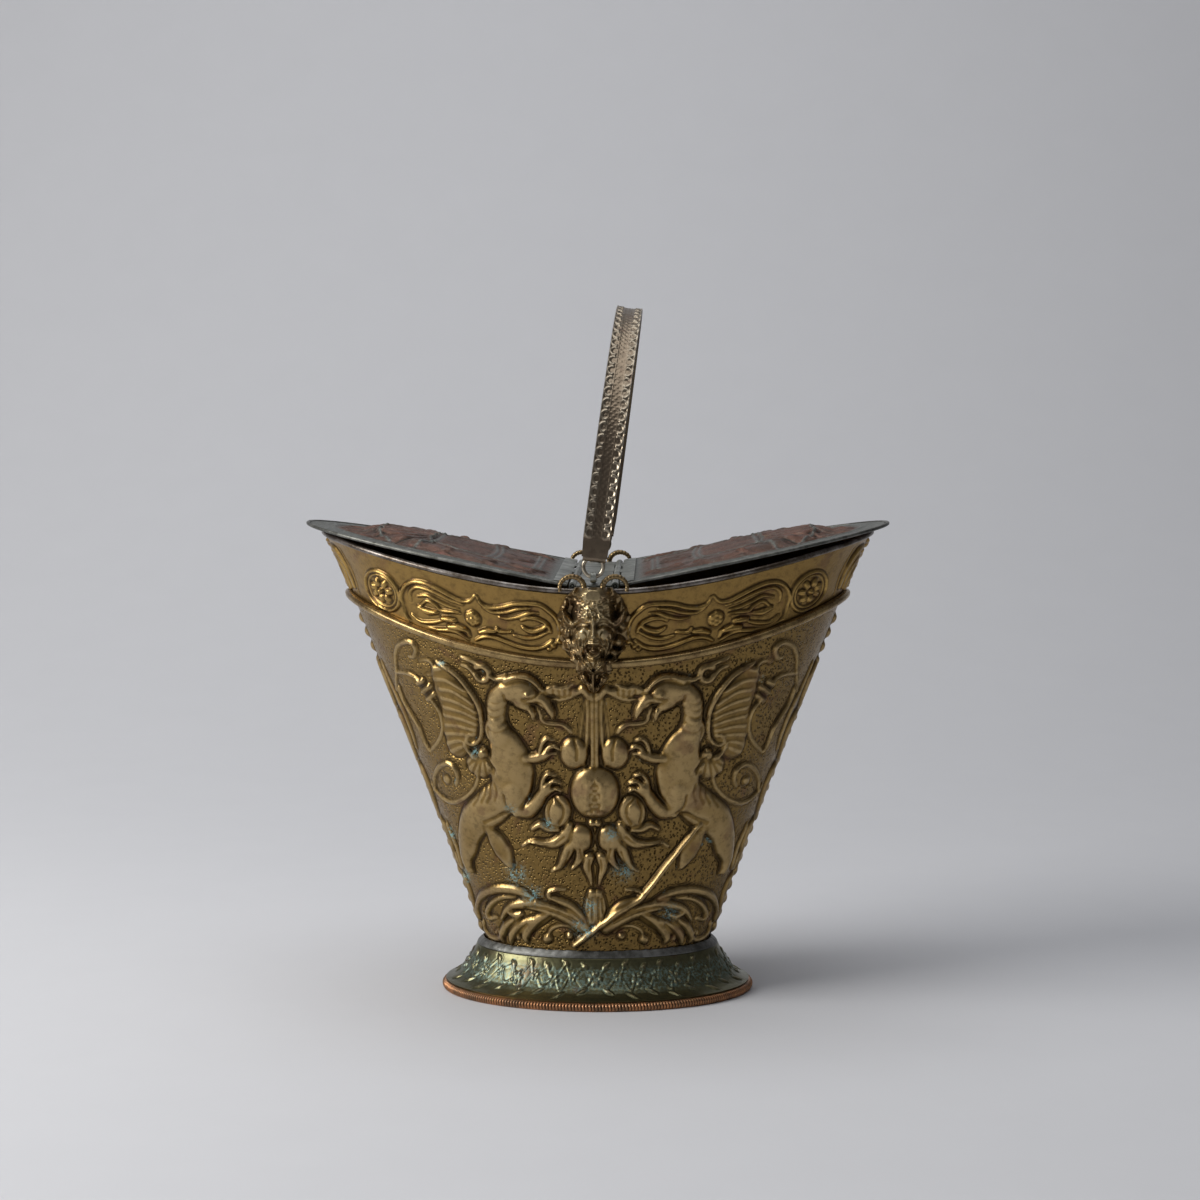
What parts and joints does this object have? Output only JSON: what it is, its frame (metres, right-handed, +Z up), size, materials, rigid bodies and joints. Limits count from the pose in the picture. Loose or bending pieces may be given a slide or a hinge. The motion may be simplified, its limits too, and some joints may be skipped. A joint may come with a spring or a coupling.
{
  "type": "lidded coal scuttle",
  "caption": "Oval embossed brass coal scuttle on a flared foot, with two hinged half lids and a bail handle hung on rings behind horned masks.",
  "frame": {"origin": "on the ground, under the middle of the foot", "axes": "+Z up, +X along the long axis of the oval to the right, +Y to the back; the front mask faces -Y"},
  "size_m": [0.4346, 0.2844, 0.511],
  "materials": {
    "embossed_brass": "old embossed brass, dark in the hollows, rubbed bright on the relief",
    "rim_grey": "grey tarnished wired edge",
    "foot_bronze": "brown-olive patina with verdigris",
    "foot_copper": "coppery milled edge",
    "solder": "dull soft solder",
    "hinge_grey": "dull pale grey hinge metal",
    "lid_copper": "red-brown embossed copper with grey margins",
    "mask_bronze": "dark cast bronze, rubbed high points",
    "handle_bronze": "pewter-brown embossed strap"
  },
  "bodies": {
    "root": {"body_front": "embossed_brass", "body_back": "embossed_brass", "collar_front": "embossed_brass", "collar_back": "embossed_brass", "rib_moulding": "embossed_brass", "rim_roll": "rim_grey", "bottom_plate": "foot_bronze", "foot_skirt": "foot_bronze", "foot_edge": "foot_copper", "foot_solder": "solder", "hinge_bar": "hinge_grey", "hinge_pin_left": "hinge_grey", "hinge_pin_right": "hinge_grey", "ring_lug_front": "hinge_grey", "ring_lug_back": "hinge_grey", "mask_front": "mask_bronze", "mask_back": "mask_bronze"},
    "lid_right": {"lid_right_plate": "lid_copper", "lid_right_edge": "rim_grey", "lid_right_leaf": "hinge_grey"},
    "lid_left": {"lid_left_plate": "lid_copper", "lid_left_edge": "rim_grey", "lid_left_leaf": "hinge_grey"},
    "handle": {"handle_strap": "handle_bronze", "handle_ring_front": "mask_bronze", "handle_ring_back": "mask_bronze"}
  },
  "joints": [
    {"name": "lid_right_hinge", "type": "hinge", "parent": "root", "child": "lid_right", "pos_m": [0.015, 0, 0.3125], "axis": [0, -1, 0], "range_deg": [0, 60]},
    {"name": "lid_left_hinge", "type": "hinge", "parent": "root", "child": "lid_left", "pos_m": [-0.015, 0, 0.3125], "axis": [0, 1, 0], "range_deg": [0, 75]},
    {"name": "handle_swing", "type": "hinge", "parent": "root", "child": "handle", "pos_m": [0, 0, 0.327], "axis": [0, 1, 0], "range_deg": [-82.5, 67.5]}
  ]
}
